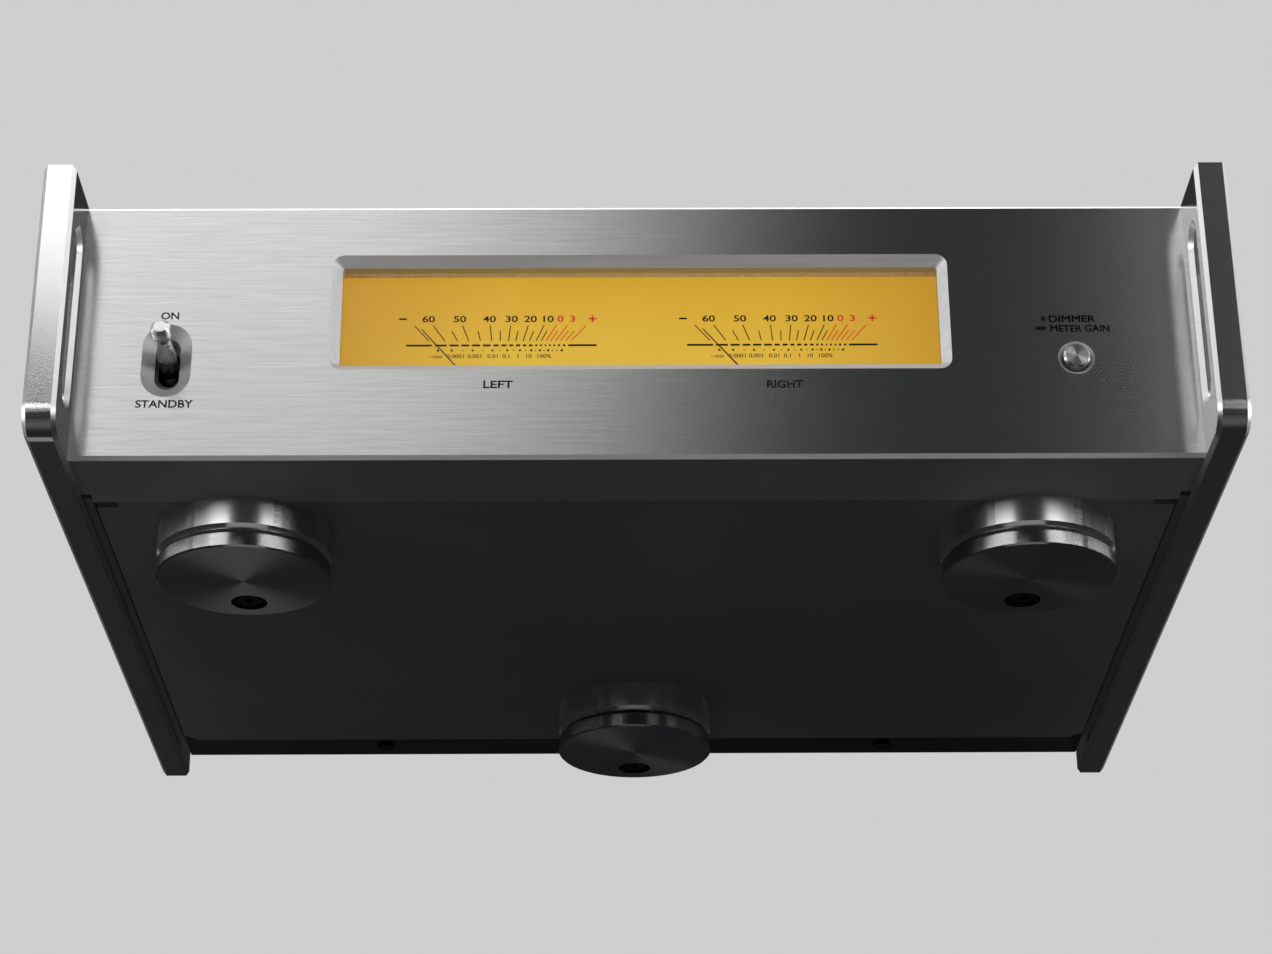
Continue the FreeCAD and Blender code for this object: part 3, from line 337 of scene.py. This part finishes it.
def wound_tape():
    """Yellow tape wound over the transformer, overlapping in turns round its ring."""
    shader = Shader("wound_tape")
    offset = shader.away_from(tuple(middle("transformer")))
    angle = shader.math("ARCTAN2", shader.axis(offset, "Y"), shader.axis(offset, "X"))
    turns = shader.math("FRACT", shader.math("MULTIPLY", angle, 44 / math.tau))
    shader.set(Base_Color=shader.mix(turns, (0.42, 0.27, 0.05, 1), (0.62, 0.44, 0.10, 1)), Roughness=0.38)
    shader.set(Normal=shader.bump(turns, 0.0003, 0.6))
    return shader.material


def lit_dial():
    """The translucent amber plate, lit from behind and brighter towards its lower middle."""
    shader = Shader("lit_dial")
    height = shader.remap(shader.axis(shader.coords, "Z"), 0.038, 0.069, 0, 1)
    across = shader.math("ABSOLUTE", shader.math("SUBTRACT", shader.axis(shader.coords, "X"), window_middle))
    edge = shader.remap(across, 0.035, 0.078, 0, 1)
    paper = shader.noise(1500.0, detail=2)
    shade = shader.mix(height, (0.70, 0.46, 0.052, 1), (0.62, 0.345, 0.026, 1))
    shade = shader.mix(shader.math("MULTIPLY", edge, 0.85), shade, (0.49, 0.25, 0.024, 1))
    shade = shader.mix(shader.remap(paper, 0.3, 0.7, 0, 0.04), shade, (0.40, 0.20, 0.02, 1))
    shader.set(Base_Color=(0.03, 0.015, 0.002, 1), Roughness=0.6, Specular_IOR_Level=0.1,
               Emission_Color=shade, Emission_Strength=1.0)
    return shader.material


def clear_glass():
    shader = Shader("clear_glass")
    tint = shader.noise(60.0, detail=2)
    shader.set(Base_Color=shader.mix(tint, (1.0, 1.0, 0.99, 1), (0.98, 0.99, 0.99, 1)),
               IOR=1.12, Transmission_Weight=1.0, Roughness=0.0)
    return shader.material


def printed_ink(name, colour):
    shader = Shader(name)
    speck = shader.noise(5000.0, detail=2)
    light = tuple(each * 1.3 for each in colour) + (1,)
    shader.set(Base_Color=shader.mix(shader.remap(speck, 0.4, 0.7, 0, 1), colour + (1,), light))
    shader.set(Roughness=0.8, Specular_IOR_Level=0.1)
    return shader.material


FINISHES = {
    "panel": brushed_panel(),
    "bevel": cut_bevel("cut_bevel", 0.60),
    # the toggle's countersink is cut in the panel's metal, and its level below the bevels' is painted shade
    "flare": cut_bevel("toggle_flare", 0.32),
    # the ledge is the aluminium panel's underside, and its dark grey is painted shade
    "ledge": dark_satin("ledge_painted_shade", 0.26, 0.50),
    "plate": blasted_plate(),
    "cover": dark_satin("dark_cover", 0.17, 0.48),
    "rear": dark_satin("rear_paint", 0.020, 0.50),
    "lid": satin_metal("lid_aluminium", 0.50, 0.48),
    "steel": satin_metal("plain_steel", 0.55, 0.32),
    "blacked": satin_metal("blacked_steel", 0.025, 0.34),
    "lever": polished_metal("polished_lever", 0.50, 0.26),
    # the button's side is the same metal as its face; its darker level is painted shade
    "button_wall_painted_shade": polished_metal("button_wall_painted_shade", 0.20, 0.12),
    "glass": clear_glass(),
    "dial": lit_dial(),
    "black": moulded_plastic("black_plastic", (0.018, 0.018, 0.019), 0.42),
    "needle": dark_satin("needle_paint", 0.012, 0.6),
    "lamp_box": moulded_plastic("lamp_box_plastic", (0.62, 0.55, 0.42), 0.5),
    "board": circuit_board(),
    "fins": satin_metal("extruded_fins", 0.45, 0.36),
    "tape": wound_tape(),
    "rubber": moulded_plastic("rubber_pad", (0.02, 0.02, 0.02), 0.75, 500.0),
    "sleeve": moulded_plastic("can_sleeve", (0.02, 0.03, 0.08), 0.22, 200.0),
    "gold": satin_metal("gold_plate", 0.85, 0.2, (1.0, 0.76, 0.40)),
    "cap": moulded_plastic("cap_plastic", (0.03, 0.03, 0.032), 0.2, 300.0),
    "red_cap": moulded_plastic("red_cap", (0.45, 0.012, 0.010), 0.25, 300.0),
    "ink": printed_ink("dark_ink", (0.012, 0.006, 0.003)),
    "red": printed_ink("red_ink", (0.55, 0.035, 0.015)),
    "white": printed_ink("white_ink", (0.62, 0.62, 0.60)),
    "label": printed_ink("label_ink", (0.004, 0.004, 0.005)),
}

NODE_FINISHES = {
    "panel": ["front_panel"],
    "plate": ["side_plate_left", "side_plate_right"],
    "cover": ["bottom_cover", "side_rails"],
    "rear": ["rear_panel"],
    "lid": ["top_cover"],
    "steel": ["meter_movements", "toggle_pin", "foot_nuts", "clamp_dish",
              "transformer_bolt", "board_standoffs", "latch_tab_left", "latch_tab_right"],
    "blacked": ["foot_spikes", "foot_keepers", "pan_head_screws"],
    "lever": ["power_lever"],
    "glass": ["window_glass"],
    "dial": ["dial_plate"],
    "lamp_box": ["meter_housing"],
    "black": ["toggle_guard", "toggle_body", "button_body", "mains_inlet",
              "balanced_shells", "balanced_inserts", "input_selector", "selector_slider",
              "trigger_jack", "post_collars"],
    "needle": ["needle_left", "needle_right"],
    "board": ["led_board", "front_board", "psu_board", "amp_board_left", "amp_board_right", "input_board"],
    "fins": ["heat_spreaders"],
    "tape": ["transformer"],
    "rubber": ["transformer_pads"],
    "sleeve": ["supply_capacitors"],
    "gold": ["inlet_blades", "phono_sockets", "post_studs"]
            + [f"clamp_ring_{each}" for each in range(1, 5)],
    "cap": [f"post_cap_{each}" for each in range(1, 5)],
}


def dress(piece, material):
    piece.data.materials.clear()
    piece.data.materials.append(material)


for finish, names in NODE_FINISHES.items():
    for name in names:
        dress(nodes[name], FINISHES[finish])
saucer_finish = turned_feet("turned_saucer", 0.50, 0.30, 0.14)
for name in saucer_middles:
    dress(nodes[f"saucer_{name}"], saucer_finish)
# the discs are the same turned metal as the saucers; their much lighter level is painted light
dress(nodes["foot_discs"], turned_feet("turned_disc_painted_light", 0.90, 0.38, 0.14))
dress(nodes["dimmer_button"], turned_face("turned_button", tuple(button_middle), 0.42, 0.30))

# the positive posts' caps have red ends
for post in (1, 3):
    cap_mesh = nodes[f"post_cap_{post}"].data
    cap_mesh.materials.append(FINISHES["red_cap"])
    for polygon in cap_mesh.polygons:
        if polygon.normal.y > 0.5:
            polygon.material_index = 1

# the button's side is a darker copy of its turned metal, which is painted shade
button_mesh = nodes["dimmer_button"].data
button_mesh.materials.append(FINISHES["button_wall_painted_shade"])
for polygon in button_mesh.polygons:
    if abs(polygon.normal.y) < 0.3:
        polygon.material_index = 1

# the panel's bevels, its ledge and the toggle's countersink aren't brushed; the ledge's dark grey and the
# countersink's darker level are painted shade
SQUARE = 0.93
COUNTERSINK_REACH = 20 * MM
panel_mesh = nodes["front_panel"].data
for finish in ("bevel", "ledge", "flare"):
    panel_mesh.materials.append(FINISHES[finish])
for polygon in panel_mesh.polygons:
    slanted = max(abs(part) for part in polygon.normal) < SQUARE
    if polygon.normal.z < -SQUARE and polygon.center.z < panel_low.z + 1 * MM:
        polygon.material_index = 2
    elif slanted and (polygon.center - toggle_middle).length < COUNTERSINK_REACH:
        polygon.material_index = 3
    elif slanted or abs(polygon.normal.z) > SQUARE:
        polygon.material_index = 1


# ---- printing ----------------------------------------------------------------------------

PRINT_GAP = 0.03 * MM


def add_print(name, mesh, material):
    """A new printed piece of the fixed body from a mesh."""
    mesh.materials.clear()
    mesh.materials.append(material)
    piece = bpy.data.objects.new(name, mesh)
    bpy.context.scene.collection.objects.link(piece)
    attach(piece, "chassis")


def strokes(name, lines, material, y):
    """Flat printed bars in a plane facing the front; a line is two ends and a width."""
    points = []
    faces = []
    for (x0, z0), (x1, z1), width in lines:
        length = math.hypot(x1 - x0, z1 - z0)
        side_x = (z1 - z0) / length * width / 2
        side_z = -(x1 - x0) / length * width / 2
        first = len(points)
        for x, z, way in ((x0, z0, 1), (x1, z1, 1), (x1, z1, -1), (x0, z0, -1)):
            points.append((x + way * side_x, y, z + way * side_z))
        faces.append((first, first + 3, first + 2, first + 1))
    mesh = bpy.data.meshes.new(name)
    mesh.from_pydata(points, [], faces)
    add_print(name, mesh, material)


def lettering(name, text, x, z, height, material, y, widen, weight, align="CENTER", rim=0.0):
    """Printed text facing the front, whose capitals are as tall as height.

    Weight thickens the strokes, and rim does so for dark words with an M, whose middle a weight would open.
    """
    curve = bpy.data.curves.new(name, "FONT")
    curve.body = text
    curve.size = 1.0
    curve.align_x = align
    curve.resolution_u = 5
    curve.offset = weight
    curve.bevel_depth = rim
    curve.bevel_resolution = 0
    source = bpy.data.objects.new(name + "_source", curve)
    bpy.context.scene.collection.objects.link(source)
    bpy.context.view_layer.update()
    mesh = bpy.data.meshes.new_from_object(source)
    bpy.data.objects.remove(source)
    cap_height = 0.70
    size = height / cap_height
    for vertex in mesh.vertices:
        across, up, _ = vertex.co
        vertex.co = (x + across * size * widen, y, z + (up - cap_height / 2) * size)
    add_print(name, mesh, material)


# ---- the two dials -----------------------------------------------------------------------

# each mark's angle from upright, in degrees, with the level above it and the power below it; a mark
# with None is a short one, and a mark with "" is a long one without a number
MARKS = [
    (-40.7, "", ""), (-33.8, "60", "0.0001"), (-27.25, None, None), (-20.65, "50", "0.001"),
    (-13.2, None, None), (-5.6, "40", "0.01"), (0.3, None, None), (6.1, "30", "0.1"),
    (11.05, None, None), (15.9, "20", "1"), (19.95, None, None), (23.9, "10", "10"),
    (26.8, None, None), (29.5, "0", ""), (31.85, None, None), (34.2, "3", "100%"),
    (36.4, None, None), (38.75, None, None), (41.0, "", ""),
]
RED_FROM = 29

# heights above the needle's pivot, in millimetres
BASE_UP = 19.17
TICK_LOW = 20.4
MINOR_TOP = 23.2
MAJOR_TOP = 24.8
NUMBER_UP = 26.65
DOT_UP = 17.76
POWER_UP = 16.15

TICK_WIDTH = 0.25 * MM
BAR_WIDTH = 0.54 * MM
BAR_GAP = 0.34 * MM
SIGN_ARM = 0.98 * MM
LEVEL_HEIGHT = 1.72 * MM
POWER_HEIGHT = 1.04 * MM
DIAL_Y = dial_low.y - PRINT_GAP


def along(pivot, angle, up):
    """The point on the ray at an angle that is so many millimetres above the pivot."""
    return pivot.x + up * MM * math.tan(math.radians(angle)), pivot.z + up * MM


def print_dial(side, pivot):
    """The scale: a gapped base line, ticks that point at the needle's pivot, dots and numbers."""
    ticks = {"ink": [], "red": []}
    dots = []
    for angle, level, _ in MARKS:
        top = MINOR_TOP if level is None else MAJOR_TOP
        colour = "red" if angle > RED_FROM else "ink"
        ticks[colour].append((along(pivot, angle, TICK_LOW), along(pivot, angle, top), TICK_WIDTH))
        dot = 0.46 if level is not None else 0.20
        half = 0.27 if level is not None else 0.2
        dots.append((along(pivot, angle, DOT_UP - half), along(pivot, angle, DOT_UP + half), dot * MM))
    edges = [pivot.x - 23.3 * MM, pivot.x + 24.1 * MM]
    stops = [along(pivot, angle, BASE_UP)[0] for angle, _, _ in MARKS]
    starts = [edges[0]] + [stop + BAR_GAP for stop in stops]
    ends = [stop - BAR_GAP for stop in stops] + [edges[1]]
    height = pivot.z + BASE_UP * MM
    bars = [((start, height), (end, height), BAR_WIDTH) for start, end in zip(starts, ends)]
    strokes(f"scale_bars_{side}", bars + dots + ticks["ink"], FINISHES["ink"], DIAL_Y)
    plus_x, plus_z = along(pivot, 40.9, NUMBER_UP)
    plus = [((plus_x - SIGN_ARM, plus_z), (plus_x + SIGN_ARM, plus_z), 0.42 * MM),
            ((plus_x, plus_z - SIGN_ARM), (plus_x, plus_z + SIGN_ARM), 0.42 * MM)]
    strokes(f"scale_red_{side}", ticks["red"] + plus, FINISHES["red"], DIAL_Y)
    minus_x, minus_z = along(pivot, -42.3, NUMBER_UP)
    minus = [((minus_x - SIGN_ARM, minus_z), (minus_x + SIGN_ARM, minus_z), 0.48 * MM)]
    strokes(f"scale_minus_{side}", minus, FINISHES["ink"], DIAL_Y)
    for angle, level, power in MARKS:
        if level:
            x, z = along(pivot, angle, NUMBER_UP)
            ink = FINISHES["red" if angle > RED_FROM else "ink"]
            lettering(f"level_{level}_{side}", level, x, z, LEVEL_HEIGHT, ink, DIAL_Y, 1.32, 0.018)
        if power:
            x, z = along(pivot, angle, POWER_UP)
            name = f"power_{power.replace('%', 'pc')}_{side}"
            lettering(name, power, x, z, POWER_HEIGHT, FINISHES["ink"], DIAL_Y, 1.15, 0.010)
    x, z = along(pivot, -44.4, POWER_UP)
    lettering(f"power_none_{side}", "–oo", x, z, POWER_HEIGHT, FINISHES["ink"], DIAL_Y, 1.35, 0.010)


for side, pivot in pivots.items():
    print_dial(side, pivot)


# ---- words on the panel ------------------------------------------------------------------

PANEL_Y = panel_low.y - PRINT_GAP
PANEL_BASE = panel_low.z


def panel_word(name, text, x, up, height, widen, align="CENTER", weight=0.016, rim=0.0):
    """A word on the panel: its place above the panel's lower edge and its height are in millimetres."""
    lettering(name, text, x * MM, PANEL_BASE + up * MM, height * MM, FINISHES["label"], PANEL_Y,
              widen, weight, align, rim)


panel_word("word_on", "ON", -114.6, 39.2, 1.87, 1.09)
panel_word("word_standby", "STANDBY", -114.7, 14.9, 2.0, 1.10)
panel_word("word_left", "LEFT", -33.8, 20.0, 2.0, 1.26)
panel_word("word_right", "RIGHT", 36.1, 19.9, 2.0, 1.08)
panel_word("word_dimmer", "DIMMER", 101.45, 37.75, 1.85, 1.19, "LEFT", 0.0, 0.022)
panel_word("word_gain", "METER GAIN", 101.7, 35.05, 1.85, 0.985, "LEFT", 0.0, 0.022)

# a dot for a short press beside DIMMER, and a dash for a long one beside METER GAIN
marks = [((start * MM, PANEL_BASE + up * MM), (100.8 * MM, PANEL_BASE + up * MM), thick * MM)
         for start, up, thick in ((99.7, 37.7, 1.15), (98.2, 35.1, 1.05))]
strokes("word_marks", marks, FINISHES["label"], PANEL_Y)


# ---- words on the rear panel -------------------------------------------------------------

REAR_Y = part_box("rear_panel")[1].y + PRINT_GAP
REAR_HEIGHT = 2.4 * MM


def rear_word(name, text, x, z):
    """A word that reads from behind: a negative width turns it round."""
    lettering(f"rear_{name}", text, x, z, REAR_HEIGHT, FINISHES["white"], REAR_Y, -1.15, 0.02)


for name, text, x, up in (("input", "INPUT", 89, 23.0), ("left", "L", 66, 23.0), ("right", "R", 112, 23.0),
                          ("trigger", "TRIGGER", 38, 23.0), ("mains", "AC IN", -104, 20.3)):
    rear_word(name, text, x * MM, up * MM)
posts = [middle(f"post_cap_{each}") for each in range(1, 5)]
for number, (post, sign) in enumerate(zip(posts, "+–+–"), start=1):
    rear_word(f"post_{number}", sign, post.x, post.z - 11 * MM)
rear_word("speakers", "SPEAKERS", (posts[0].x + posts[3].x) / 2, posts[0].z + 12 * MM)


# ---- studio ------------------------------------------------------------------------------

def add_floor():
    """A pale floor under the feet. It shows only from above, so that the case can be seen from below."""
    half = 3.0
    mesh = bpy.data.meshes.new("floor")
    corners = [(-half, -half, 0), (half, -half, 0), (half, half, 0), (-half, half, 0)]
    mesh.from_pydata(corners, [], [(0, 1, 2, 3)])
    shader = Shader("pale_floor")
    shader.set(Base_Color=(0.22, 0.22, 0.22, 1), Roughness=0.7, Specular_IOR_Level=0.1,
               Emission_Color=(0.62, 0.62, 0.61, 1), Emission_Strength=0.55)
    clear = shader.add("ShaderNodeBsdfTransparent")
    chooser = shader.add("ShaderNodeMixShader")
    shader.join(shader.add("ShaderNodeNewGeometry").outputs["Backfacing"], chooser.inputs["Fac"])
    shader.join(shader.surface.outputs[0], chooser.inputs[1])
    shader.join(clear.outputs[0], chooser.inputs[2])
    shader.join(chooser.outputs[0], shader.tree.nodes["Material Output"].inputs["Surface"])
    mesh.materials.append(shader.material)
    floor = bpy.data.objects.new("floor", mesh)
    bpy.context.scene.collection.objects.link(floor)
    floor.visible_shadow = False
    floor.visible_diffuse = False
    floor.visible_glossy = False


def add_world():
    """A pale backdrop to the eye, and a dimmer room for the light that falls on the metal."""
    world = bpy.data.worlds.new("studio")
    bpy.context.scene.world = world
    world.use_nodes = True
    tree = world.node_tree
    lit = tree.nodes["Background"]
    lit.inputs["Color"].default_value = (0.9, 0.95, 1.0, 1)
    lit.inputs["Strength"].default_value = 0.023
    seen = tree.nodes.new("ShaderNodeBackground")
    seen.inputs["Color"].default_value = (0.62, 0.62, 0.63, 1)
    seen.inputs["Strength"].default_value = 1.0
    path = tree.nodes.new("ShaderNodeLightPath")
    chooser = tree.nodes.new("ShaderNodeMixShader")
    tree.links.new(path.outputs["Is Camera Ray"], chooser.inputs["Fac"])
    tree.links.new(lit.outputs[0], chooser.inputs[1])
    tree.links.new(seen.outputs[0], chooser.inputs[2])
    tree.links.new(chooser.outputs[0], tree.nodes["World Output"].inputs["Surface"])


AIM = Vector((0, -0.1, 0.035))


def add_softbox(name, azimuth, elevation, distance, width, height, watts):
    """A soft rectangular light that faces the case. Azimuth 0 is straight in front and 90 to the right."""
    light = bpy.data.lights.new(name, "AREA")
    light.shape = "RECTANGLE"
    light.size = width
    light.size_y = height
    light.energy = watts
    lamp = bpy.data.objects.new(name, light)
    bpy.context.scene.collection.objects.link(lamp)
    across, up = math.radians(azimuth), math.radians(elevation)
    ray = Vector((math.sin(across) * math.cos(up), -math.cos(across) * math.cos(up), math.sin(up)))
    lamp.location = AIM + ray * distance
    lamp.rotation_mode = "QUATERNION"
    lamp.rotation_quaternion = (-ray).to_track_quat("-Z", "Y")


def add_side_card(name, x, watts):
    """A pale card lying beside the case, for the outer faces of the side plates to reflect."""
    light = bpy.data.lights.new(name, "AREA")
    light.shape = "RECTANGLE"
    light.size = 1.0
    light.size_y = 1.5
    light.energy = watts
    lamp = bpy.data.objects.new(name, light)
    bpy.context.scene.collection.objects.link(lamp)
    lamp.location = (x, 0.15, 0.001)
    lamp.rotation_euler = (math.pi, 0, 0)
    lamp.visible_camera = False


CAMERA_AT = (-0.00453, -0.73915, -0.2941)
CAMERA_HEADING = -0.386
CAMERA_PITCH = 25.512
CAMERA_ROLL = 0.331


def add_camera():
    """The photograph's viewpoint: in front and below, looking up at the panel and the underside."""
    camera = bpy.data.cameras.new("camera")
    camera.lens = 82.84
    camera.sensor_width = 36
    camera.clip_start = 0.01
    holder = bpy.data.objects.new("camera", camera)
    bpy.context.scene.collection.objects.link(holder)
    turn = (Matrix.Rotation(math.radians(CAMERA_HEADING), 4, "Z")
            @ Matrix.Rotation(math.radians(CAMERA_PITCH), 4, "X")
            @ Matrix.Rotation(math.radians(CAMERA_ROLL), 4, "Y")
            @ Matrix.Rotation(math.radians(90), 4, "X"))
    holder.matrix_world = Matrix.Translation(CAMERA_AT) @ turn
    bpy.context.scene.camera = holder
    bpy.context.scene.view_settings.view_transform = "Standard"


add_floor()
add_world()

# three overlapping boxes make the panel's glow fade smoothly from left to right
for step, azimuth in enumerate((-34.5, -30.0, -25.5)):
    add_softbox(f"left_box_{step}", azimuth, 41.0, 1.3, 1.10, 0.62, 1.4)
add_softbox("far_left_box", -78.0, 41.0, 1.3, 0.95, 0.62, 3.0)
add_softbox("right_box", 52.0, 41.0, 1.3, 0.95, 0.62, 2.6)
add_softbox("far_right_box", 94.0, 38.0, 1.3, 0.95, 0.62, 2.4)

# low boxes light the side plates' front edges and the feet
for side, azimuth, width, watts in (("left", -42.0, 1.10, 8.5), ("far_left", -90.0, 0.95, 5.0),
                                    ("right", 46.0, 1.10, 8.0), ("far_right", 97.0, 0.95, 6.0)):
    add_softbox(f"low_{side}_box", azimuth, 8.0, 1.3, width, 0.34, watts)
add_softbox("front_glow", 0.0, -62.0, 1.2, 0.8, 0.5, 0.35)
add_softbox("under_box", 199.6, -45.0, 1.2, 0.4, 0.4, 0.16)

# the top and the rear, which the photograph doesn't show
add_softbox("top_box", 175.0, 68.0, 1.3, 1.4, 1.0, 7.0)
for side, azimuth in (("left", -135.0), ("right", 135.0), ("middle", 180.0)):
    add_softbox(f"rear_{side}_box", azimuth, 54.0, 1.4, 1.2, 0.7, 6.0)
for side, x in (("left", -0.66), ("right", 0.66)):
    add_side_card(f"{side}_card", x, 1.9)

add_camera()
